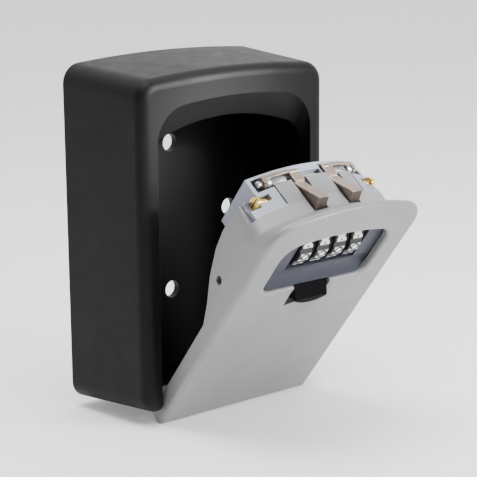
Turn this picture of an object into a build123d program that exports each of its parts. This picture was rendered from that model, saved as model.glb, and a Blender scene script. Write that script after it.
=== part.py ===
"""Wall-mounted key lock box with a drop-down combination door, modelled in millimetres.

Row frame: origin at the centre of the back face, +Z up, the door faces -Y.
Door parts are laid out with the door shut, by three door coordinates: x across,
t = depth behind the door's front face, s = height above the door's base line.
They are then swung open about the hinge pin, because the object is stored open.
"""
from build123d import *
import os
from math import cos, pi, radians, sin, sqrt

# ---- driving dimensions: case -------------------------------------------------
CASE_WIDTH = 86.4          # at the back face
CASE_HEIGHT = 120.0        # at the back face, to the top of the crown
CASE_DEPTH = 40.0
CASE_DRAFT = 0.066         # every side leans in by this much per mm of depth
CASE_CROWN = 2.2           # rise of the arched top over its corners
CASE_TOP_RADIUS = 7.0
CASE_BOTTOM_RADIUS = 6.2
CASE_FRONT_ROUND = 4.0
BACK_WALL = 3.0
CAVITY_HALF_WIDTH = 35.6
CAVITY_TOP_Z = 52.0
CAVITY_FLOOR_Z = -54.4
CAVITY_CORNER = 6.0
MOUNT_HOLE_RADIUS = 3.15
MOUNT_CIRCLE = 54.0
MOUNT_COUNT = 4

# ---- driving dimensions: opening in the case ----------------------------------
OPENING_HALF_WIDTH = 34.0
OPENING_TOP_Z = 47.9
OPENING_CROWN_RADIUS = 180.0
OPENING_CORNER = 13.0
LIP_DEPTH = 5.4            # from the front face to the keeper flange
KEEPER_TOP_Z = 40.4        # lower edge of the keeper flange at mid width
KEEPER_CROWN_RADIUS = 84.0
KEEPER_CORNER = 9.0
KEEPER_THICKNESS = 2.1
KEEPER_SIDE_END_Z = 25.0   # the flange runs out into the sides here

# ---- driving dimensions: door -------------------------------------------------
DOOR_FRONT_Y = -41.1
DOOR_BASE_Z = -55.0
DOOR_OPEN_DEG = 38.1       # how far the door drops open, where its heel meets the case
HINGE_T = 9.9
HINGE_S = 0.1
HINGE_PIN_RADIUS = 1.5
HINGE_BARREL_RADIUS = 3.2
RUNNING_CLEARANCE = 0.05
DOOR_HALF_WIDTH = 33.4
DOOR_TOP_S = 102.4
DOOR_CROWN_RADIUS = 180.0
DOOR_CORNER = 12.2
DOOR_BOTTOM_S = -3.3
DOOR_SKIN = 2.6
DOOR_WALL = 2.3
DOOR_SIDE_LEAN = 0.17      # side walls lean in by this much per mm of depth
SHOULDER_T = 8.0           # where the sloping top edge meets the flat top wall
TOP_WALL_REAR_T = 13.0
SIDE_WALL_REAR_T = 21.0
SIDE_WALL_TOP_S = 84.6
LOCK_TOP_S = 93.3          # crest of the arched top of the lock
LOCK_CROWN_RADIUS = 63.0
HEEL_RADIUS = 3.95
HEEL_DEG = -56.3           # heel corner, measured from the rear, door shut
NOTCH_REAR = 3.8           # floor notch edge, behind the hinge axis

# ---- driving dimensions: window, bezel and button -----------------------------
WINDOW_HALF_WIDTH = 23.4
WINDOW_LOW_S = 63.3
WINDOW_TOP_S = 87.6
WINDOW_CROWN_RADIUS = 95.0
WINDOW_LOW_CORNER = 5.0
WINDOW_TOP_CORNER = 7.0
WINDOW_ROUND = 1.1
APERTURE_HALF_WIDTH = 15.3
APERTURE_LOW_S = 71.2
APERTURE_TOP_S = 84.6
BEZEL_GAP = 0.45            # dark line between the bezel and the window's edge
BEZEL_FRONT_T = 3.0
BEZEL_REAR_T = 4.0
BUTTON_HALF_WIDTH = 7.8
BUTTON_STAND_OUT = 2.3
BUTTON_SCREW_S = 60.0

# ---- driving dimensions: dials ------------------------------------------------
DIAL_COUNT = 4
DIAL_PITCH = 7.4
DIAL_WIDTH = 5.2
DIAL_RADIUS = 8.5
DIAL_BORE = 5.0
DIAL_DIGITS = 10
DIAL_T = 9.8
DIAL_S = 77.8
SHAFT_RADIUS = 2.5
CAM_RADIUS = 5.6
CAM_WIDTH = 1.2
SPACER_WIDTH = 0.6

# ---- driving dimensions: latches ----------------------------------------------
LATCH_PIN_T = 24.3
LATCH_PIN_S = 89.3
LATCH_PIN_RADIUS = 1.25
LATCH_INNER_X = 5.2
LATCH_OUTER_X = 9.6
LATCH_LEG_X = 20.0
LATCH_SHEET = 1.2
LUG_T = 15.7
LUG_S = 87.9
LUG_RADIUS = 0.8
LUG_END_X = 15.3
SLOT_INNER_X = 4.6
SLOT_OUTER_X = 10.3
SLOT_FRONT_T = 7.5
RIB_OUTER_X = 16.6

# ---- driving dimensions: lock housing -----------------------------------------
HOUSING_HALF_WIDTH = 24.0
HOUSING_FRONT_HALF_WIDTH = 26.0
HOUSING_FLOOR_S = 66.4
HOUSING_LOW_REAR_S = 69.5
HOUSING_REAR_T = 26.8
COVER_REAR_T = 27.8
REAR_TOP_S = 92.2            # the rear rim sits a little lower than the deck
REAR_CROWN_RADIUS = 79.0
END_BLOCK_HALF_WIDTH = 28.2
END_BLOCK_REAR_T = 21.5
POCKET_FLOOR_S = 85.4
SCREW_T = 18.6             # brass screws in the housing's ends
SCREW_S = 87.6
ARM_INNER_X = 15.6
ARM_OUTER_X = 17.6

HINGE_Y = DOOR_FRONT_Y + HINGE_T
HINGE_Z = DOOR_BASE_Z + HINGE_S
HINGE_AXIS = Axis((0, HINGE_Y, HINGE_Z), (1, 0, 0))
FAR = 120.0                # longer than any part, for through cuts


# ---- helpers --------------------------------------------------------------------
def door_y(t):
    """Row Y of a depth behind the shut door's front face."""
    return DOOR_FRONT_Y + t


def door_z(s):
    """Row Z of a height above the shut door's base line."""
    return DOOR_BASE_Z + s


def block(x0, x1, y0, y1, z0, z1):
    """A rectangular block between two corners, in the row frame."""
    corner = Box(x1 - x0, y1 - y0, z1 - z0, align=(Align.MIN, Align.MIN, Align.MIN))
    return Pos(x0, y0, z0) * corner


def slab(x0, x1, t0, t1, s0, s1):
    """A rectangular block between two corners, in door coordinates."""
    return block(x0, x1, door_y(t0), door_y(t1), door_z(s0), door_z(s1))


def rod(radius, x0, x1, t, s):
    """A round bar along X, in door coordinates."""
    bar = Rot(0, 90, 0) * Cylinder(radius, x1 - x0)
    return Pos((x0 + x1) / 2, door_y(t), door_z(s)) * bar


def studs(radius, t0, t1, centres):
    """Round bars along the door's depth, one for each (x, s)."""
    bar = Rot(90, 0, 0) * Cylinder(radius, t1 - t0)
    return [Pos(x, door_y((t0 + t1) / 2), door_z(s)) * bar for x, s in centres]


def both(shape):
    """A shape and its mirror image in the object's middle plane."""
    return shape + mirror(shape, about=Plane.YZ)


def prism_x(face, x0, x1):
    """Extrude a face drawn as (t, s) from x0 to x1."""
    placed = Plane.YZ.offset(x0) * Pos(DOOR_FRONT_Y, DOOR_BASE_Z) * face
    return extrude(placed, amount=x1 - x0, dir=(1, 0, 0))


def polygon(points):
    """A flat face through corner points."""
    return make_face(Polyline(*points, close=True))


def facing_front(face, y):
    """Stand a face drawn as (x, z) upright at row Y, facing -Y."""
    return Plane((0, y, 0), x_dir=(1, 0, 0), z_dir=(0, -1, 0)) * face


def arched_face(half_width, low, top, crown_radius, corner):
    """An upright outline: straight sides, an arched top and rounded top corners."""
    drop = crown_radius - sqrt(crown_radius**2 - half_width**2)
    sides = Polyline(
        (half_width, top - drop), (half_width, low), (-half_width, low), (-half_width, top - drop)
    )
    crown = ThreePointArc((-half_width, top - drop), (0, top), (half_width, top - drop))
    face = make_face(sides + crown)
    return fillet(face.vertices().sort_by(Axis.Y)[-2:], radius=corner)


def under_arch(top_s, crown_radius):
    """Everything below the arched top of the lock, as a bar along the door's depth."""
    bar = Rot(90, 0, 0) * Cylinder(crown_radius, FAR)
    return Pos(0, door_y(0), door_z(top_s - crown_radius)) * bar


def solid_of(shape):
    """Drop wrappers, so that each node is written as plain solids."""
    solids = shape.solids()
    return solids[0] if len(solids) == 1 else Compound(children=list(solids))


# ---- case -----------------------------------------------------------------------
def case_face(depth):
    """Outer outline of the case at a distance in front of the back face."""
    lean = CASE_DRAFT * depth
    half_width = CASE_WIDTH / 2 - lean
    low = -CASE_HEIGHT / 2 + lean
    top = CASE_HEIGHT / 2 - lean
    rise = CASE_CROWN
    crown_radius = (half_width**2 + rise**2) / (2 * rise)
    face = arched_face(half_width, low, top, crown_radius, CASE_TOP_RADIUS)
    return fillet(face.vertices().sort_by(Axis.Y)[:2], radius=CASE_BOTTOM_RADIUS)


def make_case_shell():
    front_y = -CASE_DEPTH
    keeper_y = front_y + LIP_DEPTH
    cavity_y = keeper_y + KEEPER_THICKNESS
    sections = [facing_front(case_face(0), 0), facing_front(case_face(CASE_DEPTH), front_y)]
    shell = loft(sections, ruled=True)
    front_edges = shell.faces().sort_by(Axis.Y)[0].edges()
    shell = fillet(front_edges, radius=CASE_FRONT_ROUND)

    below = -CASE_HEIGHT
    mouth = arched_face(OPENING_HALF_WIDTH, below, OPENING_TOP_Z, OPENING_CROWN_RADIUS, OPENING_CORNER)
    throat = arched_face(OPENING_HALF_WIDTH, below, KEEPER_TOP_Z, KEEPER_CROWN_RADIUS, KEEPER_CORNER)
    shell -= loft([facing_front(throat, keeper_y), facing_front(mouth, front_y)], ruled=True)
    shell -= extrude(facing_front(mouth, front_y), amount=5, dir=(0, -1, 0))
    shell -= extrude(facing_front(throat, cavity_y), amount=KEEPER_THICKNESS, dir=(0, -1, 0))

    # key space behind the keeper flange, and the wider sides beside the lip
    width = 2 * CAVITY_HALF_WIDTH
    height = CAVITY_TOP_Z - CAVITY_FLOOR_Z
    room = Pos(0, (CAVITY_TOP_Z + CAVITY_FLOOR_Z) / 2) * RectangleRounded(width, height, CAVITY_CORNER)
    shell -= extrude(facing_front(room, -BACK_WALL), amount=-BACK_WALL - cavity_y, dir=(0, -1, 0))
    shell -= block(
        -CAVITY_HALF_WIDTH, CAVITY_HALF_WIDTH, keeper_y, cavity_y,
        CAVITY_FLOOR_Z + CAVITY_CORNER, KEEPER_SIDE_END_Z,
    )

    # the floor is notched for the hinge barrel, up to the door's heel stop
    notch_rear = HINGE_Y + NOTCH_REAR
    notch_half = OPENING_HALF_WIDTH
    shell -= block(-notch_half, notch_half, front_y - 5, notch_rear, below, CAVITY_FLOOR_Z + 2)

    # the pin goes in from the right-hand side and stops blind in the left wall
    shell -= rod(HINGE_PIN_RADIUS, -38.0, CASE_WIDTH / 2 + 2, HINGE_T, HINGE_S)
    for step in range(MOUNT_COUNT):
        angle = 2 * pi * step / MOUNT_COUNT
        x = MOUNT_CIRCLE / 2 * sin(angle)
        z = MOUNT_CIRCLE / 2 * cos(angle)
        shell -= Pos(x, 0, z) * Rot(90, 0, 0) * Cylinder(MOUNT_HOLE_RADIUS, 4 * BACK_WALL)
    return shell


def make_hinge_pin():
    return chamfer(rod(HINGE_PIN_RADIUS, -38.0, 39.5, HINGE_T, HINGE_S).edges(), length=0.3)


# ---- door casting ---------------------------------------------------------------
def half_width_at(t):
    """Outer half width of the door casting at a depth behind its front face."""
    return DOOR_HALF_WIDTH - DOOR_SIDE_LEAN * t


def door_side_face():
    """Side view of the casting, hinge barrel and heel stop, as (t, s)."""
    outline = polygon([
        (0, DOOR_BOTTOM_S), (HINGE_T, DOOR_BOTTOM_S + 0.2), (HINGE_T, 3.0), (7.0, 6.0), (7.0, 43.0),
        (10.4, 49.5), (15.9, 57.6), (19.6, 66.0), (SIDE_WALL_REAR_T, 73.0),
        (SIDE_WALL_REAR_T, SIDE_WALL_TOP_S), (TOP_WALL_REAR_T, SIDE_WALL_TOP_S),
        (TOP_WALL_REAR_T, DOOR_TOP_S + 5), (0, DOOR_TOP_S + 5),
    ])
    corner = outline.vertices().sort_by_distance((0, DOOR_BOTTOM_S, 0))[0]
    outline = fillet(corner, radius=3.0)
    barrel = Pos(HINGE_T, HINGE_S) * Circle(HINGE_BARREL_RADIUS)
    heel_t = HINGE_T + HEEL_RADIUS * cos(radians(HEEL_DEG))
    heel_s = HINGE_S + HEEL_RADIUS * sin(radians(HEEL_DEG))
    heel = polygon([
        (HINGE_T, HINGE_S), (HINGE_T, DOOR_BOTTOM_S + 0.2), (heel_t, heel_s), (HINGE_T + 3.1, HINGE_S),
    ])
    return outline + barrel + heel


def window_face():
    face = arched_face(
        WINDOW_HALF_WIDTH, WINDOW_LOW_S, WINDOW_TOP_S, WINDOW_CROWN_RADIUS, WINDOW_TOP_CORNER
    )
    return fillet(face.vertices().sort_by(Axis.Y)[:2], radius=WINDOW_LOW_CORNER)


def door_section(face, t):
    """Stand a face drawn as (x, s) upright at a depth behind the door's front."""
    return facing_front(Pos(0, DOOR_BASE_Z) * face, door_y(t))


def make_door_plate():
    low = DOOR_BOTTOM_S - 2
    front = arched_face(DOOR_HALF_WIDTH, low, DOOR_TOP_S, DOOR_CROWN_RADIUS, DOOR_CORNER)
    shoulder = arched_face(half_width_at(SHOULDER_T), low, LOCK_TOP_S, LOCK_CROWN_RADIUS, 7.0)
    rear = arched_face(half_width_at(SIDE_WALL_REAR_T + 1), low, LOCK_TOP_S, LOCK_CROWN_RADIUS, 7.0)
    plate = loft([door_section(front, 0), door_section(shoulder, SHOULDER_T)], ruled=True)
    plate += loft([door_section(shoulder, SHOULDER_T), door_section(rear, SIDE_WALL_REAR_T + 1)], ruled=True)
    front_edges = plate.faces().sort_by(Axis.Y)[0].edges()
    plate = fillet(front_edges, radius=1.6)
    plate &= prism_x(door_side_face(), -DOOR_HALF_WIDTH, DOOR_HALF_WIDTH)

    # hollow back, with a solid foot over the hinge barrel
    inner_low = 7.0
    inner_top = LOCK_TOP_S - 2.0
    inner_crown = LOCK_CROWN_RADIUS - 2.0
    inner_front = arched_face(half_width_at(DOOR_SKIN) - DOOR_WALL, inner_low, inner_top, inner_crown, 6.0)
    inner_rear = arched_face(half_width_at(24) - DOOR_WALL, inner_low, inner_top, inner_crown, 6.0)
    plate -= loft([door_section(inner_front, DOOR_SKIN), door_section(inner_rear, 24)], ruled=True)

    # window with a soft front edge, button slot and a shallow finger scoop
    plate -= extrude(door_section(window_face(), DOOR_SKIN + 1), amount=DOOR_SKIN + 2, dir=(0, -1, 0))
    window_edges = plate.edges().filter_by_position(Axis.Y, door_y(-0.01), door_y(0.01))
    inner_edges = [
        edge for edge in window_edges
        if abs(edge.center().X) < WINDOW_HALF_WIDTH + 1
        and door_z(WINDOW_LOW_S - 1) < edge.center().Z < door_z(WINDOW_TOP_S + 1)
    ]
    plate = fillet(inner_edges, radius=WINDOW_ROUND)
    plate -= slab(-8.1, 8.1, -1, DOOR_SKIN + 1, 54.3, WINDOW_LOW_S + 2)
    scoop_radius = 60.0
    scoop_depth = 0.9
    plate -= Pos(0, door_y(scoop_depth - scoop_radius), door_z(58.0)) * Sphere(scoop_radius)

    # latch slots through the top wall, pin bore, side pin holes, hinge barrel gaps
    plate -= both(slab(SLOT_INNER_X, SLOT_OUTER_X, SLOT_FRONT_T, TOP_WALL_REAR_T + 1, 84.0, DOOR_TOP_S))
    plate -= rod(1.6, -FAR / 2, FAR / 2, 11.2, 60.4)
    plate -= rod(HINGE_PIN_RADIUS + RUNNING_CLEARANCE, -FAR / 2, FAR / 2, HINGE_T, HINGE_S)
    return plate


# ---- window bezel ---------------------------------------------------------------
def make_dial_bezel():
    half = WINDOW_HALF_WIDTH + 2.0
    bezel = slab(-half, half, BEZEL_FRONT_T, BEZEL_REAR_T, WINDOW_LOW_S - 1.0, WINDOW_TOP_S + 1.2)
    bezel &= under_arch(WINDOW_TOP_S + 1.4, LOCK_CROWN_RADIUS)

    # the part seen in the window: flat beside the dials, with a cove and a lip below them
    low = WINDOW_LOW_S + BEZEL_GAP
    cove = ThreePointArc((1.5, low + 1.0), (2.85, low + 3.4), (2.6, APERTURE_LOW_S))
    front = cove + Polyline(
        (2.6, APERTURE_LOW_S), (2.3, FAR), (BEZEL_REAR_T, FAR), (BEZEL_REAR_T, low - 1),
        (1.2, low - 1), (1.2, low + 0.6), (1.5, low + 1.0),
    )
    plug = prism_x(make_face(front), -half, half)
    seen = offset(window_face(), amount=-BEZEL_GAP)
    bezel += plug & extrude(door_section(seen, BEZEL_REAR_T), amount=BEZEL_REAR_T, dir=(0, -1, 0))
    return bezel - slab(
        -APERTURE_HALF_WIDTH, APERTURE_HALF_WIDTH, 0, BEZEL_REAR_T + 1, APERTURE_LOW_S, APERTURE_TOP_S
    )


# ---- lock housing ---------------------------------------------------------------
def make_lock_housing():
    rear_half = HOUSING_HALF_WIDTH
    front_half = HOUSING_FRONT_HALF_WIDTH
    nose = slab(-front_half, front_half, BEZEL_REAR_T, TOP_WALL_REAR_T, HOUSING_FLOOR_S, FAR)
    nose &= under_arch(LOCK_TOP_S - 2.2, LOCK_CROWN_RADIUS - 2.2)
    ends = slab(-front_half, front_half, TOP_WALL_REAR_T, END_BLOCK_REAR_T - 1.0, HOUSING_LOW_REAR_S, FAR)
    core = slab(-rear_half, rear_half, TOP_WALL_REAR_T, HOUSING_REAR_T, HOUSING_LOW_REAR_S, FAR)
    shoulder_rear = END_BLOCK_REAR_T - 1.0
    shoulder_low = SIDE_WALL_TOP_S + 0.2
    shoulder = slab(front_half - 4, END_BLOCK_HALF_WIDTH, TOP_WALL_REAR_T, shoulder_rear, shoulder_low, FAR)
    housing = nose + ((ends + core + both(shoulder)) & under_arch(LOCK_TOP_S, LOCK_CROWN_RADIUS))
    above_rim = slab(-rear_half - 1, rear_half + 1, 22.0, HOUSING_REAR_T + 1, 80.0, FAR)
    housing -= above_rim - under_arch(REAR_TOP_S, REAR_CROWN_RADIUS)
    housing -= slab(-4.0, 4.0, 22.6, 25.0, 90.2, FAR)
    housing -= slab(-rear_half - 3, rear_half + 3, 17.3, 21.2, HOUSING_FLOOR_S - 1, HOUSING_LOW_REAR_S)

    # dial chamber, open to the window
    chamber_half = 1.5 * DIAL_PITCH + DIAL_WIDTH / 2 + 1.4
    chamber_radius = DIAL_RADIUS + 0.6
    housing -= rod(chamber_radius, -chamber_half, chamber_half, DIAL_T, DIAL_S)
    housing -= slab(
        -chamber_half, chamber_half, 0, DIAL_T, DIAL_S - chamber_radius, DIAL_S + chamber_radius
    )
    housing -= rod(SHAFT_RADIUS, -21.5, 21.5, DIAL_T, DIAL_S)
    housing -= slab(-13.9, 13.9, 8.5, 14.7, 68.7, 71.0)

    # channels for the opener arms and its fence comb
    arm_gap = slab(ARM_INNER_X - 0.3, ARM_OUTER_X + 0.3, 14.6, 17.0, HOUSING_FLOOR_S - 1, 90.1)
    lug_gap = slab(SLOT_OUTER_X - 1, ARM_INNER_X + 0.5, 14.4, 17.7, 84.2, 90.1)
    housing -= both(arm_gap + lug_gap)
    housing -= slab(-ARM_OUTER_X - 0.4, ARM_OUTER_X + 0.4, 14.6, 20.8, 75.9, 83.2)

    # latch slots from front to back, and pockets for the springs and outer legs
    slot = slab(SLOT_INNER_X, SLOT_OUTER_X, SLOT_FRONT_T - 0.5, 19.0, 86.4, FAR)
    slot += slab(SLOT_INNER_X, SLOT_OUTER_X, 13.4, FAR, 84.2, FAR)
    pocket = slab(RIB_OUTER_X, HOUSING_HALF_WIDTH - 1.3, END_BLOCK_REAR_T, FAR, POCKET_FLOOR_S, FAR)
    seam = slab(RIB_OUTER_X, RIB_OUTER_X + 0.6, TOP_WALL_REAR_T + 0.8, END_BLOCK_REAR_T + 1, 90.35, FAR)
    housing -= both(slot + pocket + seam)

    # the ribs are rounded off behind the latch pin
    rib_round = slab(SLOT_OUTER_X, RIB_OUTER_X, 22.0, FAR, LATCH_PIN_S, FAR)
    rib_round += slab(SLOT_OUTER_X, RIB_OUTER_X, LATCH_PIN_T, FAR, POCKET_FLOOR_S, FAR)
    rib_round -= rod(1.95, 0, FAR / 2, LATCH_PIN_T, LATCH_PIN_S)
    housing -= both(rib_round)
    housing -= rod(LATCH_PIN_RADIUS, -22.0, 22.0, LATCH_PIN_T, LATCH_PIN_S)

    # end grooves with the brass lock screws, and the code-change pocket
    head_seat = rod(2.35, 24.4, FAR / 2, SCREW_T, SCREW_S) + slab(24.4, FAR / 2, 16.25, 20.95, SCREW_S, FAR)
    shank_seat = rod(1.2, 20.2, 24.4, SCREW_T, SCREW_S) + slab(20.2, 24.4, 17.4, 19.8, SCREW_S, FAR)
    housing -= both(head_seat + shank_seat)
    housing -= slab(-15.0, 15.0, 22.8, FAR, 72.0, 82.0)
    return housing


def make_lock_screws():
    """Slotted brass screws in the end grooves of the housing."""
    screw = rod(1.2, 20.2, 24.6, SCREW_T, SCREW_S) + rod(2.15, 24.4, 25.9, SCREW_T, SCREW_S)
    screw -= slab(25.2, 27, SCREW_T - 0.3, SCREW_T + 0.3, 80, 95)
    return both(screw)


# ---- rear covers ----------------------------------------------------------------
COVER_SCREWS = [(-19.5, 74.0), (19.5, 74.0), (-20.5, 82.6), (20.5, 82.6)]
RESET_SLOT_S = 77.0


def make_rear_cover():
    half = HOUSING_HALF_WIDTH
    cover = slab(-half, half, HOUSING_REAR_T, COVER_REAR_T, HOUSING_LOW_REAR_S, FAR)
    cover &= under_arch(REAR_TOP_S, REAR_CROWN_RADIUS)
    cover -= slab(-6.5, 6.5, HOUSING_REAR_T - 1, COVER_REAR_T + 1, RESET_SLOT_S - 1.7, RESET_SLOT_S + 1.7)
    for hole in studs(1.1, HOUSING_REAR_T - 1, COVER_REAR_T + 1, COVER_SCREWS):
        cover -= hole
    return cover


def make_opener_cover():
    """Sloping plate that closes the back of the door below the lock housing."""
    outer = [(7.0, 42.0), (9.9, 48.6), (15.4, 56.7), (19.1, 65.1), (20.2, 69.2)]
    foot_t = DOOR_SKIN + 3.2
    inner = [(19.3, 69.2), (18.3, 65.7), (14.8, 57.5), (9.0, 49.0), (foot_t, 44.0), (foot_t, 42.0)]
    half = half_width_at(20.5) - DOOR_WALL - 0.3
    cover = prism_x(polygon(outer + inner), -half, half)
    foot = slab(-half, half, DOOR_SKIN, 7.0, 40.0, 42.0)
    return cover + foot


def make_cover_screws():
    head_t = COVER_REAR_T + 1.0
    screws = studs(1.1, 24.8, COVER_REAR_T, COVER_SCREWS) + studs(2.1, COVER_REAR_T, head_t, COVER_SCREWS)
    body = screws[0]
    for screw in screws[1:]:
        body += screw
    for x, s in COVER_SCREWS:
        body -= slab(x - 0.35, x + 0.35, head_t - 0.5, head_t + 1, s - 1.4, s + 1.4)
        body -= slab(x - 1.4, x + 1.4, head_t - 0.5, head_t + 1, s - 0.35, s + 0.35)
    return body


def cut_screw_holes(housing):
    for hole in studs(1.1, 24.8, COVER_REAR_T, COVER_SCREWS):
        housing -= hole
    return housing


# ---- code-change lever ----------------------------------------------------------
def make_reset_lever():
    lever = slab(-9.0, 9.0, 24.6, 25.8, 74.0, 80.0)
    lever += slab(-1.6, 1.6, 25.8, 29.9, RESET_SLOT_S - 1.4, RESET_SLOT_S + 1.4)
    return Pos(-3.0, 0, 0) * lever


def make_reset_guide():
    """Steel plate that carries the code-change lever in its pocket."""
    guide = slab(-14.8, 14.8, 22.8, 24.4, 72.2, 81.8)
    guide += slab(-14.8, 14.8, 24.4, 26.4, 72.2, 73.8)
    guide += slab(-14.8, 14.8, 24.4, 26.4, 80.2, 81.8)
    return guide


# ---- dials ----------------------------------------------------------------------
def dial_centre(index):
    return (index - (DIAL_COUNT - 1) / 2) * DIAL_PITCH


def make_dial(index):
    centre = dial_centre(index)
    low = centre - DIAL_WIDTH / 2
    high = centre + DIAL_WIDTH / 2
    dial = chamfer(rod(DIAL_RADIUS, low, high, DIAL_T, DIAL_S).edges(), length=0.35)
    dial -= rod(DIAL_BORE, low - 1, high + 1, DIAL_T, DIAL_S)
    for step in range(DIAL_DIGITS):
        angle = 2 * pi * (step + 0.5) / DIAL_DIGITS
        groove_t = DIAL_T - 9.3 * cos(angle)
        groove_s = DIAL_S + 9.3 * sin(angle)
        dial -= rod(1.35, low - 1, high + 1, groove_t, groove_s)
    return dial


def make_cam_sleeve(index):
    centre = dial_centre(index)
    low = centre - DIAL_WIDTH / 2
    high = centre + DIAL_WIDTH / 2
    sleeve = rod(DIAL_BORE, low, high, DIAL_T, DIAL_S)
    sleeve += rod(CAM_RADIUS, high, high + CAM_WIDTH, DIAL_T, DIAL_S)
    sleeve -= rod(SHAFT_RADIUS + RUNNING_CLEARANCE, low - 1, high + 2, DIAL_T, DIAL_S)
    sleeve -= slab(high, high + 2, DIAL_T + 4.2, DIAL_T + 7, DIAL_S - 1, DIAL_S + 1)
    return sleeve


def make_dial_shaft():
    shaft = rod(SHAFT_RADIUS, -21.5, 21.5, DIAL_T, DIAL_S)
    return chamfer(shaft.edges(), length=0.4)


def make_dial_spacers():
    """Fixed washers that part the dials, one beside each cam."""
    rings = []
    for index in range(DIAL_COUNT - 1):
        low = dial_centre(index) + DIAL_WIDTH / 2 + CAM_WIDTH + 0.2
        ring = rod(7.2, low, low + SPACER_WIDTH, DIAL_T, DIAL_S)
        rings.append(ring - rod(SHAFT_RADIUS, low - 1, low + 2, DIAL_T, DIAL_S))
    body = rings[0]
    for ring in rings[1:]:
        body += ring
    return body


def make_detent_spring():
    """Leaf spring under the dials, with one finger for each."""
    half = 1.5 * DIAL_PITCH + DIAL_WIDTH / 2
    leaf = slab(-half, half, 12.2, 14.6, 68.75, 69.15)
    for index in range(DIAL_COUNT):
        centre = dial_centre(index)
        finger = polygon([(12.2, 68.75), (12.2, 69.15), (8.6, 68.95), (8.6, 68.75)])
        leaf += prism_x(finger, centre - 1.8, centre + 1.8)
    return leaf


# ---- latches --------------------------------------------------------------------
def make_latch():
    """The right-hand latch: nose, stepped strip, two legs on the pin and a lift lug."""
    strip_face = polygon([
        (8.25, 92.6), (9.45, 96.8), (10.2, 96.7), (18.4, 93.0), (20.6, 92.3), (20.8, 92.9),
        (25.9, 92.9), (25.9, 91.4), (22.2, 91.4), (19.5, 90.2), (17.0, 87.3), (14.7, 87.3),
        (12.5, 90.2), (8.7, 91.7),
    ])
    strip = prism_x(strip_face, LATCH_INNER_X, LATCH_OUTER_X)
    strip = chamfer(strip.faces().filter_by(Axis.X).edges(), length=0.25)
    crossbar = slab(LATCH_INNER_X + 1, LATCH_LEG_X, 24.5, 25.9, 91.4, 93.0)
    leg_face = polygon([(22.9, 88.2), (22.9, 91.6), (24.6, 93.0), (25.9, 93.0), (25.7, 88.2)])
    leg_face += Pos(LATCH_PIN_T, LATCH_PIN_S) * Circle(2.2)
    legs = prism_x(leg_face, LATCH_INNER_X, LATCH_INNER_X + LATCH_SHEET)
    legs += prism_x(leg_face, LATCH_LEG_X - LATCH_SHEET, LATCH_LEG_X)
    lug = rod(LUG_RADIUS, LATCH_OUTER_X - 0.5, LUG_END_X, LUG_T, LUG_S)
    latch = strip + ((crossbar + legs) & under_arch(93.8, KEEPER_CROWN_RADIUS)) + lug
    return latch - rod(LATCH_PIN_RADIUS + RUNNING_CLEARANCE, 0, FAR / 2, LATCH_PIN_T, LATCH_PIN_S)


def make_latch_pin():
    pin = rod(LATCH_PIN_RADIUS, -22.0, 22.0, LATCH_PIN_T, LATCH_PIN_S)
    return chamfer(pin.edges(), length=0.3)


def make_latch_springs():
    """Torsion springs beside the ribs, each as the closed shape of its coil."""
    coil = rod(2.0, 16.8, 18.5, LATCH_PIN_T, LATCH_PIN_S)
    coil -= rod(LATCH_PIN_RADIUS + 0.3, 16, 20, LATCH_PIN_T, LATCH_PIN_S)
    return both(coil)


# ---- opener ---------------------------------------------------------------------
def button_face(half_width, low, top, sag, corner):
    """Button outline as (x, s): straight top and sides, lower edge bowed down by sag."""
    side_low = low + sag
    sides = Polyline((half_width, side_low), (half_width, top), (-half_width, top), (-half_width, side_low))
    bow = ThreePointArc((-half_width, low + sag), (0, low), (half_width, low + sag))
    return fillet(make_face(sides + bow).vertices(), radius=corner)


def make_open_button():
    root = button_face(BUTTON_HALF_WIDTH, 56.9, 63.4, 1.2, 0.4)
    tip = button_face(BUTTON_HALF_WIDTH - 1.0, 57.1, 59.6, 1.6, 0.25)
    knob = loft([door_section(root, DOOR_SKIN - 0.2), door_section(tip, -BUTTON_STAND_OUT)], ruled=True)
    stem = slab(-6.6, 6.6, DOOR_SKIN - 0.2, DOOR_SKIN + 0.2, 57.6, 63.0)
    foot = slab(-9.5, 9.5, DOOR_SKIN + 0.2, DOOR_SKIN + 1.6, 51.0, 62.0)
    button = knob + stem + foot
    return button - studs(0.9, -0.5, DOOR_SKIN + 2, [(0, BUTTON_SCREW_S)])[0]


def make_slider_plate():
    """Folded steel plate from the button, under the dials and up both sides to the latches."""
    front = slab(-10.0, 10.0, DOOR_SKIN + 1.6, DOOR_SKIN + 2.8, 51.0, 66.0)
    shelf = slab(-ARM_OUTER_X, ARM_OUTER_X, DOOR_SKIN + 1.6, 16.4, 64.8, 66.0)
    arm = slab(ARM_INNER_X, ARM_OUTER_X, 15.0, 16.4, 64.8, 89.9)
    tab = slab(13.7, ARM_OUTER_X, 15.0, 16.4, 89.1, 89.9)
    plate = front + shelf + both(arm + tab)
    return plate - studs(0.9, DOOR_SKIN + 1, DOOR_SKIN + 4, [(0, BUTTON_SCREW_S)])[0]


def make_button_screw():
    shank = studs(0.9, -0.5, DOOR_SKIN + 2.8, [(0, BUTTON_SCREW_S)])[0]
    head = studs(2.0, DOOR_SKIN + 2.8, DOOR_SKIN + 3.8, [(0, BUTTON_SCREW_S)])[0]
    return shank + head


def make_fence_comb():
    """Comb behind the dials, with a tooth for each cam, fixed to both opener arms."""
    comb = slab(-ARM_OUTER_X, ARM_OUTER_X, 18.9, 20.2, 79.2, 82.4)
    comb += both(slab(ARM_INNER_X, ARM_OUTER_X, 16.4, 18.9, 79.2, 82.4))
    for index in range(DIAL_COUNT):
        cam = dial_centre(index) + DIAL_WIDTH / 2
        comb += slab(cam + 0.1, cam + CAM_WIDTH - 0.1, 16.2, 18.9, 80.0, 81.6)
    return comb


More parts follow.
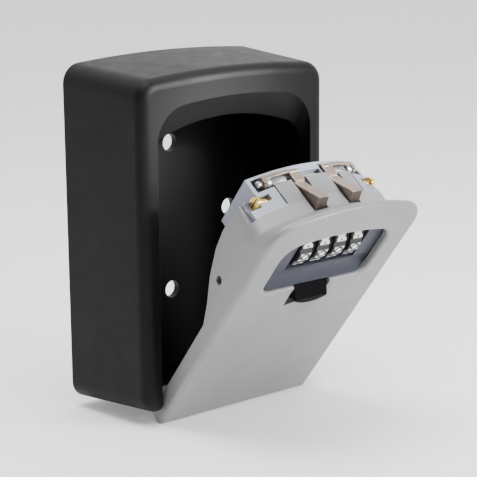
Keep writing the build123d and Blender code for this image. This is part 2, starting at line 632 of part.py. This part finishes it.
def make_return_springs():
    """Compression springs that lift the opener, each as the closed shape of its coil."""
    coil = Pos(0, 0, door_z((45.6 + 51.0) / 2)) * Cylinder(1.4, 51.0 - 45.6)
    coil -= Pos(0, 0, door_z(48)) * Cylinder(0.8, 20)
    placed = Pos(6.0, door_y(DOOR_SKIN + 1.5), 0) * coil
    return both(placed)


def make_spring_seat():
    """Bridge across the casting that carries the return springs and guides the opener."""
    return slab(-14.0, 14.0, DOOR_SKIN, DOOR_SKIN + 3.0, 44.2, 45.6)


# ---- nodes ----------------------------------------------------------------------
def door_nodes():
    latch = make_latch()
    nodes = {
        "door_plate": make_door_plate(),
        "dial_bezel": make_dial_bezel(),
        "lock_housing": cut_screw_holes(make_lock_housing()),
        "lock_screws": make_lock_screws(),
        "rear_cover": make_rear_cover(),
        "opener_cover": make_opener_cover(),
        "cover_screws": make_cover_screws(),
        "reset_lever": make_reset_lever(),
        "reset_guide": make_reset_guide(),
        "dial_shaft": make_dial_shaft(),
        "dial_spacers": make_dial_spacers(),
        "detent_spring": make_detent_spring(),
        "latch_pin": make_latch_pin(),
        "latch_springs": make_latch_springs(),
        "latch_right": latch,
        "latch_left": mirror(latch, about=Plane.YZ),
        "open_button": make_open_button(),
        "button_screw": make_button_screw(),
        "slider_plate": make_slider_plate(),
        "fence_comb": make_fence_comb(),
        "return_springs": make_return_springs(),
        "spring_seat": make_spring_seat(),
    }
    for index in range(DIAL_COUNT):
        nodes[f"dial_{index + 1}"] = make_dial(index)
        nodes[f"cam_sleeve_{index + 1}"] = make_cam_sleeve(index)
    return nodes


def main():
    os.makedirs("parts", exist_ok=True)
    nodes = {name: shape.rotate(HINGE_AXIS, DOOR_OPEN_DEG) for name, shape in door_nodes().items()}
    nodes["case_shell"] = make_case_shell()
    nodes["hinge_pin"] = make_hinge_pin()
    for name, shape in nodes.items():
        export_step(solid_of(shape), f"parts/{name}.step")


main()
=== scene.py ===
# Looks of the key lock box: materials, springs, dial figures, light and camera.

import math

import bmesh
import bpy
from mathutils import Matrix, Vector


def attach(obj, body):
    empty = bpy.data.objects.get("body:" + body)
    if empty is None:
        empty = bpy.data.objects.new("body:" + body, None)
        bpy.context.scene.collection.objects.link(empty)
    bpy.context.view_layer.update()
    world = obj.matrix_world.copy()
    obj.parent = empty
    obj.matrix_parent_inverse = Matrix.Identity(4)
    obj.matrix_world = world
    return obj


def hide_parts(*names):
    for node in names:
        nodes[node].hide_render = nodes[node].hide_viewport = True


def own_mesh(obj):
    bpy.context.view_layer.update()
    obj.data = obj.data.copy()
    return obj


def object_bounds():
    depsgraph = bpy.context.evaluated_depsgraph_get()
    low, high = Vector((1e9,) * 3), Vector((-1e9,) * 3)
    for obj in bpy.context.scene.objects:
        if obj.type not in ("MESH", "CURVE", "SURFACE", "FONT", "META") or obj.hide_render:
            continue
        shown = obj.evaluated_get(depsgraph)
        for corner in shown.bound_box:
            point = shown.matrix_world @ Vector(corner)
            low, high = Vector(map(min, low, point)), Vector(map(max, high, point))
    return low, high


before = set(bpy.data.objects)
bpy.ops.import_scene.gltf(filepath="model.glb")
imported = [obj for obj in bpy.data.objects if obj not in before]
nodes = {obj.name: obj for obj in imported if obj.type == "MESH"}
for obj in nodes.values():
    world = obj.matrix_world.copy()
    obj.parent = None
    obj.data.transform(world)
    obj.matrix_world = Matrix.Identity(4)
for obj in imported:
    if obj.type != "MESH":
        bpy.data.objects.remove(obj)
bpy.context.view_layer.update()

MM = 0.001

# the door, in mm: shut it stands upright, and it is stored swung open about the hinge
DOOR_OPEN = math.radians(38.1)
DOOR_FRONT_Y = -41.1
DOOR_BASE_Z = -55.0
HINGE = Vector((0, -31.2, -54.9)) * MM
SWING = Matrix.Translation(HINGE) @ Matrix.Rotation(DOOR_OPEN, 4, "X") @ Matrix.Translation(-HINGE)


def at(x, t, s):
    """A point given in door coordinates (mm), placed in the row frame with the door open."""
    return SWING @ (Vector((x, DOOR_FRONT_Y + t, DOOR_BASE_Z + s)) * MM)


BACK_OF_PAINT = at(0, 24.5, 91)     # the housing is painted as far back as this
PAINT_HALF_WIDTH = 0.0168
PAINT_BLEND = 0.0002


# ---- materials ------------------------------------------------------------------
CLOUD_SCALE = 45        # noise scales, per metre
SMUDGE_SCALE = 130
WEAR_SCALE = 420
FLAKE_SCALE = 6500
WEAR_WIDTH = 1.6        # worn band, as a multiple of the edge's rounding
BEVEL_SAMPLES = 6


def link(tree, source, target):
    tree.links.new(source, target)


def noise(tree, coords, scale, detail=3.0, roughness=0.55):
    node = tree.nodes.new("ShaderNodeTexNoise")
    node.inputs["Scale"].default_value = scale
    node.inputs["Detail"].default_value = detail
    node.inputs["Roughness"].default_value = roughness
    link(tree, coords, node.inputs["Vector"])
    return node.outputs["Fac"]


def remap(tree, value, low, high, to_low, to_high):
    node = tree.nodes.new("ShaderNodeMapRange")
    for key, number in zip(("From Min", "From Max", "To Min", "To Max"), (low, high, to_low, to_high)):
        node.inputs[key].default_value = number
    link(tree, value, node.inputs["Value"])
    return node.outputs["Result"]


def mix(tree, factor, first, second):
    """Blend two colours, each a socket or an RGB triple."""
    node = tree.nodes.new("ShaderNodeMix")
    node.data_type = "RGBA"
    link(tree, factor, node.inputs["Factor"])
    for socket, value in ((node.inputs[6], first), (node.inputs[7], second)):
        if isinstance(value, tuple):
            socket.default_value = (*value, 1)
        else:
            link(tree, value, socket)
    return node.outputs[2]


def math_node(tree, operation, first, second):
    node = tree.nodes.new("ShaderNodeMath")
    node.operation = operation
    for socket, value in zip(node.inputs, (first, second)):
        if isinstance(value, (int, float)):
            socket.default_value = value
        else:
            link(tree, value, socket)
    return node.outputs[0]


def edge_mask(tree, coords, width, breakup):
    """1 on worn edges, 0 on faces: where a rounded normal parts from the true one."""
    bevel = tree.nodes.new("ShaderNodeBevel")
    bevel.samples = BEVEL_SAMPLES
    bevel.inputs["Radius"].default_value = width
    geometry = tree.nodes.new("ShaderNodeNewGeometry")
    dot = tree.nodes.new("ShaderNodeVectorMath")
    dot.operation = "DOT_PRODUCT"
    link(tree, bevel.outputs["Normal"], dot.inputs[0])
    link(tree, geometry.outputs["Normal"], dot.inputs[1])
    edge = remap(tree, dot.outputs["Value"], 0.99, 0.86, 0, 1)
    patches = remap(tree, noise(tree, coords, breakup, 5), 0.40, 0.62, 0, 1)
    return math_node(tree, "MULTIPLY", edge, patches)


def deck_mask(tree, coords):
    """1 on the painted front of the lock housing, 0 on its bare rear wall and ends."""
    across = tree.nodes.new("ShaderNodeSeparateXYZ")
    link(tree, coords, across.inputs[0])
    depth = tree.nodes.new("ShaderNodeVectorMath")
    depth.operation = "DOT_PRODUCT"
    depth.inputs[1].default_value = (0, math.cos(DOOR_OPEN), math.sin(DOOR_OPEN))
    link(tree, coords, depth.inputs[0])
    rear = BACK_OF_PAINT.y * math.cos(DOOR_OPEN) + BACK_OF_PAINT.z * math.sin(DOOR_OPEN)
    front = remap(tree, depth.outputs["Value"], rear + PAINT_BLEND, rear - PAINT_BLEND, 0, 1)
    distance = math_node(tree, "ABSOLUTE", across.outputs["X"], 0)
    inner = remap(tree, distance, PAINT_HALF_WIDTH + PAINT_BLEND, PAINT_HALF_WIDTH - PAINT_BLEND, 0, 1)
    return math_node(tree, "MULTIPLY", front, inner)


def surface(
    name, color, rough, metallic=0.0, grain=2500, bump=0.04, mottle=0.12, rough_spread=0.12,
    edge=None, edge_amount=1.0, round_edges=0.00025, brushed=None, flakes=0.0, specular=0.5,
    overpaint=None,
):
    """A procedural finish: mottled colour, uneven gloss, fine grain, softened and worn edges."""
    made = bpy.data.materials.new(name)
    made.use_nodes = True
    tree = made.node_tree
    shader = tree.nodes["Principled BSDF"]
    coords = tree.nodes.new("ShaderNodeTexCoord").outputs["Object"]

    cloud = remap(tree, noise(tree, coords, CLOUD_SCALE, 4), 0.3, 0.7, 0, 1)
    dark = tuple(c * (1 - mottle) for c in color)
    light = tuple(min(1, c * (1 + mottle)) for c in color)
    tint = mix(tree, cloud, dark, light)
    if overpaint:
        tint = mix(tree, deck_mask(tree, coords), tint, overpaint)
    if flakes:
        sparkle = remap(tree, noise(tree, coords, FLAKE_SCALE, 1), 0.55, 0.8, 0, flakes)
        tint = mix(tree, sparkle, tint, tuple(min(1, c * 1.9 + 0.05) for c in color))
    if edge:
        mask = edge_mask(tree, coords, round_edges * WEAR_WIDTH, WEAR_SCALE)
        worn = math_node(tree, "MULTIPLY", mask, edge_amount)
        tint = mix(tree, worn, tint, edge)
    link(tree, tint, shader.inputs["Base Color"])

    smudge = noise(tree, coords, SMUDGE_SCALE, 6, 0.65)
    gloss = remap(tree, smudge, 0.3, 0.7, rough - rough_spread / 2, rough + rough_spread / 2)
    link(tree, gloss, shader.inputs["Roughness"])
    shader.inputs["Metallic"].default_value = metallic
    shader.inputs["Specular IOR Level"].default_value = specular

    grain_coords = coords
    if brushed:
        stretch = tree.nodes.new("ShaderNodeMapping")
        stretch.inputs["Scale"].default_value = brushed
        link(tree, coords, stretch.inputs["Vector"])
        grain_coords = stretch.outputs["Vector"]
    rounding = tree.nodes.new("ShaderNodeBevel")
    rounding.samples = BEVEL_SAMPLES
    rounding.inputs["Radius"].default_value = round_edges
    relief = tree.nodes.new("ShaderNodeBump")
    relief.inputs["Strength"].default_value = 0.6
    relief.inputs["Distance"].default_value = bump * MM
    link(tree, noise(tree, grain_coords, grain, 3), relief.inputs["Height"])
    link(tree, rounding.outputs["Normal"], relief.inputs["Normal"])
    link(tree, relief.outputs["Normal"], shader.inputs["Normal"])
    return made


CASE = surface(
    "case_powder_coat", (0.0040, 0.0040, 0.0043), 0.50, grain=2300, bump=0.12, mottle=0.20,
    rough_spread=0.10, edge=(0.012, 0.012, 0.013), edge_amount=0.4, round_edges=0.0004, specular=0.13,
)
PAINT = surface(
    "door_paint", (0.235, 0.235, 0.238), 0.44, metallic=0.25, grain=2600, bump=0.03, mottle=0.05,
    flakes=0.22, edge=(0.34, 0.34, 0.34), edge_amount=0.3, round_edges=0.0004, specular=0.35,
)
ZINC = surface(
    "cast_zinc", (0.25, 0.265, 0.315), 0.42, metallic=0.5, grain=1300, bump=0.05, mottle=0.10,
    edge=(0.50, 0.52, 0.56), edge_amount=0.6,
)
HOUSING = surface(
    "housing_part_painted", (0.25, 0.265, 0.315), 0.42, metallic=0.4, grain=1500, bump=0.05, mottle=0.08,
    edge=(0.50, 0.52, 0.56), edge_amount=0.6, overpaint=(0.19, 0.19, 0.194),
)
BEZEL = surface(
    "bezel_paint", (0.030, 0.033, 0.046), 0.36, metallic=0.04, grain=2600, bump=0.02, mottle=0.06,
    edge=(0.05, 0.055, 0.075), edge_amount=0.3, specular=0.16,
)
STEEL = surface(
    "bright_steel", (0.56, 0.56, 0.57), 0.30, metallic=1.0, grain=900, bump=0.02, brushed=(1, 6, 6),
    edge=(0.8, 0.8, 0.8), edge_amount=0.5,
)
LATCH = surface(
    "latch_plating", (0.25, 0.198, 0.165), 0.34, metallic=0.85, grain=900, bump=0.03, mottle=0.2,
    rough_spread=0.2, brushed=(7, 1, 1), edge=(0.85, 0.78, 0.70), edge_amount=0.9,
)
BRASS = surface(
    "turned_brass", (0.72, 0.50, 0.16), 0.26, metallic=1.0, grain=1200, bump=0.02, brushed=(8, 1, 1),
    edge=(0.95, 0.80, 0.45), edge_amount=0.6,
)
WIRE = surface("spring_wire", (0.60, 0.60, 0.60), 0.28, metallic=1.0, grain=2500, bump=0.01)
DIAL = surface(
    "dial_plastic", (0.010, 0.010, 0.011), 0.36, grain=2200, bump=0.02, edge=(0.06, 0.06, 0.06),
    edge_amount=0.5, specular=0.4,
)
BLACKENED = surface(
    "blackened_steel", (0.02, 0.02, 0.022), 0.38, metallic=0.6, grain=1500, bump=0.02,
    edge=(0.12, 0.12, 0.12), edge_amount=0.5,
)
BUTTON = surface(
    "button_plastic", (0.004, 0.004, 0.0045), 0.46, grain=1700, bump=0.05, edge=(0.012, 0.012, 0.012),
    edge_amount=0.4, round_edges=0.0003, specular=0.02,
)
PLAQUE = surface("figure_plaque", (0.80, 0.80, 0.79), 0.45, grain=2500, bump=0.01, mottle=0.03)
FIGURE = surface("figure_ink", (0.012, 0.012, 0.012), 0.5, grain=2500, bump=0.01)

LOOKS = {
    "case_shell": CASE, "hinge_pin": STEEL, "door_plate": PAINT, "dial_bezel": BEZEL,
    "lock_housing": HOUSING, "lock_screws": BRASS, "rear_cover": ZINC, "opener_cover": ZINC,
    "cover_screws": STEEL, "reset_lever": BRASS, "reset_guide": STEEL, "dial_shaft": STEEL,
    "dial_spacers": BLACKENED, "detent_spring": WIRE, "latch_pin": STEEL, "latch_springs": WIRE,
    "latch_right": LATCH, "latch_left": LATCH, "open_button": BUTTON, "button_screw": STEEL,
    "slider_plate": STEEL, "fence_comb": STEEL, "return_springs": WIRE, "spring_seat": STEEL,
}
for index in range(1, 5):
    LOOKS[f"dial_{index}"] = DIAL
    LOOKS[f"cam_sleeve_{index}"] = BRASS
for name, look in LOOKS.items():
    nodes[name].data.materials.clear()
    nodes[name].data.materials.append(look)


# ---- added pieces ---------------------------------------------------------------
LATCH_PIN_T, LATCH_PIN_S = 24.3, 89.3
LATCH_WIRE, RETURN_WIRE = 0.27, 0.22
RETURN_X, RETURN_T, RETURN_FOOT_S = 6, 4.1, 45.6


def add_mesh(name, mesh, look, body):
    mesh.materials.clear()
    mesh.materials.append(look)
    piece = bpy.data.objects.new(name, mesh)
    bpy.context.scene.collection.objects.link(piece)
    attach(piece, body)
    return piece


def wire(name, paths, radius, look, body):
    """Round wire along one or more point lists, as one mesh piece."""
    curve = bpy.data.curves.new(name, "CURVE")
    curve.dimensions = "3D"
    curve.bevel_depth = radius
    curve.bevel_resolution = 4
    curve.use_fill_caps = True
    for points in paths:
        spline = curve.splines.new("POLY")
        spline.points.add(len(points) - 1)
        for target, point in zip(spline.points, points):
            target.co = (*point, 1)
        spline.use_smooth = True
    holder = bpy.data.objects.new(name + "_path", curve)
    bpy.context.scene.collection.objects.link(holder)
    mesh = bpy.data.meshes.new_from_object(holder)
    bpy.data.objects.remove(holder)
    return add_mesh(name, mesh, look, body)


def latch_spring_path(side):
    """Torsion spring on the latch pin: a leg under the latch, the coil, a leg on the pocket floor."""
    turns, start, end, radius = 3.25, 17.05, 18.4, 1.75
    steps = 140
    points = [at(side * start, 25.7, 91.1), at(side * start, 25.0, 91.1)]
    for step in range(steps + 1):
        angle = math.radians(80) + 2 * math.pi * turns * step / steps
        x = start + (end - start) * step / steps
        t = LATCH_PIN_T + radius * math.cos(angle)
        points.append(at(side * x, t, LATCH_PIN_S + radius * math.sin(angle)))
    points.append(at(side * end, 23.0, 86.2))
    return points


def return_spring_path(side):
    turns, low, high, radius, steps = 6.5, 45.85, 50.75, 1.15, 150
    points = []
    for step in range(steps + 1):
        angle = 2 * math.pi * turns * step / steps
        s = low + (high - low) * step / steps
        x = side * RETURN_X + radius * math.cos(angle)
        points.append(at(x, RETURN_T + radius * math.sin(angle), s))
    return points


latch_paths = [latch_spring_path(1), latch_spring_path(-1)]
coils = wire("latch_coils", latch_paths, LATCH_WIRE * MM, WIRE, "door")
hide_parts("latch_springs")
return_paths = [return_spring_path(1), return_spring_path(-1)]
lifts = wire("return_coils", return_paths, RETURN_WIRE * MM, WIRE, "door")
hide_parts("return_springs")
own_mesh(lifts)

# figures on the dials
DIAL_T, DIAL_S, DIAL_R, DIAL_PITCH = 9.8, 77.8, 8.5, 7.4
PLAQUE_HALF_WIDTH, PLAQUE_HALF_HEIGHT = 2.15, 1.65
PLAQUE_THICKNESS, PLAQUE_CORNER = 0.07, 0.25
FIGURE_SIZE, FIGURE_BOLD, FIGURE_WIDEN, FIGURE_RAISE = 3.9, 0.12, 1.2, 0.085


def lobe_matrix(x, step):
    """Where a lobe's face sits: X across, Y up the dial, Z outward."""
    angle = 2 * math.pi * step / 10
    outward = Vector((0, -math.cos(angle), math.sin(angle)))
    upward = Vector((0, math.sin(angle), math.cos(angle)))
    centre = Vector((x, DOOR_FRONT_Y + DIAL_T, DOOR_BASE_Z + DIAL_S)) * MM
    rotation = Matrix((Vector((1, 0, 0)), upward, outward)).transposed().to_4x4()
    return SWING @ Matrix.Translation(centre) @ rotation


def curved_plate(build, matrix, half_width, half_height, radius, thickness, corner):
    """A thin raised plate, rounded at its corners, bent to the dial's radius."""
    ring = []
    bevel = 0.93        # the top is this much narrower than the foot
    levels = (radius + thickness, radius - 0.05 * MM)
    for cx, cy, turn in ((1, 1, 0), (-1, 1, 90), (-1, -1, 180), (1, -1, 270)):
        for part in range(5):
            angle = math.radians(turn + 22.5 * part)
            x = cx * (half_width - corner) + corner * math.cos(angle)
            y = cy * (half_height - corner) + corner * math.sin(angle)
            ring.append((x, y))
    top, side = [], []
    for x, y in ring:
        for level, store, inset in zip(levels, (top, side), (bevel, 1.0)):
            bend = y * inset / radius
            corner_point = Vector((x * inset, level * math.sin(bend), level * math.cos(bend)))
            store.append(build.verts.new(matrix @ corner_point))
    middle = build.verts.new(matrix @ Vector((0, 0, radius + thickness)))
    count = len(ring)
    for i in range(count):
        j = (i + 1) % count
        build.faces.new((middle, top[i], top[j]))
        build.faces.new((top[i], side[i], side[j], top[j]))


def figure_mesh(text):
    curve = bpy.data.curves.new("figure", "FONT")
    curve.body = text
    curve.size = FIGURE_SIZE * MM
    curve.align_x = "CENTER"
    curve.align_y = "CENTER"
    curve.extrude = 0.03 * MM
    curve.offset = FIGURE_BOLD * MM
    holder = bpy.data.objects.new("figure", curve)
    bpy.context.scene.collection.objects.link(holder)
    mesh = bpy.data.meshes.new_from_object(holder)
    bpy.data.objects.remove(holder)
    return mesh


FIGURES = [figure_mesh(text) for text in "O123456789"]    # a plain round nought


def dress_dial(index):
    x = (index - 1.5) * DIAL_PITCH
    plates = bmesh.new()
    ink = bmesh.new()
    for step in range(10):
        matrix = lobe_matrix(x, step)
        curved_plate(
            plates, matrix, PLAQUE_HALF_WIDTH * MM, PLAQUE_HALF_HEIGHT * MM, DIAL_R * MM,
            PLAQUE_THICKNESS * MM, PLAQUE_CORNER * MM,
        )
        figure = FIGURES[step].copy()
        for vertex in figure.vertices:
            bend = vertex.co.y / (DIAL_R * MM)
            level = (DIAL_R + FIGURE_RAISE) * MM + vertex.co.z
            x_wide = vertex.co.x * FIGURE_WIDEN
            bent = Vector((x_wide, level * math.sin(bend), level * math.cos(bend)))
            vertex.co = matrix @ bent
        ink.from_mesh(figure)
    for build, kind, look in ((plates, "plaques", PLAQUE), (ink, "figures", FIGURE)):
        bmesh.ops.recalc_face_normals(build, faces=build.faces)
        mesh = bpy.data.meshes.new(f"dial_{index + 1}_{kind}")
        build.to_mesh(mesh)
        add_mesh(f"dial_{index + 1}_{kind}", mesh, look, f"dial_{index + 1}")


for index in range(4):
    dress_dial(index)


# ---- studio ---------------------------------------------------------------------
FLOOR_HALF_SIZE = 6.0
FLOOR_DROP = 0.0002         # so that the floor and the case's foot don't share a plane
SKY_BRIGHT_SIDE = (0.60, 0.75, 0.28)
SKY_DIM, SKY_BRIGHT = 0.12, 2.1

low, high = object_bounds()
half = FLOOR_HALF_SIZE
floor_mesh = bpy.data.meshes.new("floor")
floor_mesh.from_pydata(
    [(-half, -half, 0), (half, -half, 0), (half, half, 0), (-half, half, 0)], [], [(0, 1, 2, 3)]
)
floor_look = bpy.data.materials.new("floor")
floor_look.use_nodes = True
floor_inputs = floor_look.node_tree.nodes["Principled BSDF"].inputs
floor_inputs["Base Color"].default_value = (0.93, 0.93, 0.93, 1)
floor_inputs["Roughness"].default_value = 0.7
floor_inputs["Emission Color"].default_value = (1, 1, 1, 1)
floor_inputs["Emission Strength"].default_value = 0.25
floor_mesh.materials.append(floor_look)
floor = bpy.data.objects.new("floor", floor_mesh)
floor.location.z = low.z - FLOOR_DROP
bpy.context.scene.collection.objects.link(floor)

# the sky is brighter behind the object's right shoulder
world = bpy.data.worlds.new("studio")
world.use_nodes = True
sky = world.node_tree
sky.nodes["Background"].inputs["Color"].default_value = (1, 1, 1, 1)
side_of_sky = sky.nodes.new("ShaderNodeVectorMath")
side_of_sky.operation = "DOT_PRODUCT"
side_of_sky.inputs[1].default_value = SKY_BRIGHT_SIDE
link(sky, sky.nodes.new("ShaderNodeTexCoord").outputs["Generated"], side_of_sky.inputs[0])
strength = remap(sky, side_of_sky.outputs["Value"], -0.3, 0.75, SKY_DIM, SKY_BRIGHT)
link(sky, strength, sky.nodes["Background"].inputs["Strength"])
bpy.context.scene.world = world


def hang(data, place, direction, power):
    """Put a light in the scene, shining along direction."""
    data.energy = power
    lamp = bpy.data.objects.new(data.name, data)
    lamp.location = place
    lamp.rotation_mode = "QUATERNION"
    lamp.rotation_quaternion = direction.to_track_quat("-Z", "Y")
    bpy.context.scene.collection.objects.link(lamp)


def area_light(name, place, target, size, power):
    data = bpy.data.lights.new(name, "AREA")
    data.shape = "RECTANGLE"
    data.size, data.size_y = size
    hang(data, place, Vector(target) - Vector(place), power)


def spot_light(name, place, direction, cone, power):
    data = bpy.data.lights.new(name, "SPOT")
    data.spot_size = math.radians(cone)
    data.spot_blend = 0.9
    data.shadow_soft_size = 0.02
    hang(data, place, Vector(direction), power)


area_light("top", (-0.12, -0.05, 0.70), (0, -0.02, 0), (0.45, 0.35), 5.5)
area_light("right", (0.42, -0.80, 0.34), (-0.01, -0.03, 0.01), (0.25, 0.35), 9)
spot_light("inside", (0.14, -0.30, 0.14), (-0.176, 0.30, -0.118), 11, 30)
area_light("door", (-0.01, -0.30, 0.19), (0, -0.09, 0.03), (0.14, 0.08), 0.30)

CAMERA_PLACE = Vector((-0.3644, -0.46804, 0.12389))
CAMERA_AIM = Vector((0.0187, -0.0184, -0.0085))
CAMERA_ROLL = math.radians(-0.554)
camera_data = bpy.data.cameras.new("camera")
camera_data.sensor_width = 36
camera_data.lens = 126.14
camera_data.clip_start = 0.01
camera = bpy.data.objects.new("camera", camera_data)
camera.location = CAMERA_PLACE
camera.rotation_mode = "QUATERNION"
tilt = (CAMERA_AIM - CAMERA_PLACE).to_track_quat("-Z", "Y")
roll = Matrix.Rotation(CAMERA_ROLL, 4, "Z").to_quaternion()
camera.rotation_quaternion = tilt @ roll
bpy.context.scene.collection.objects.link(camera)
bpy.context.scene.camera = camera
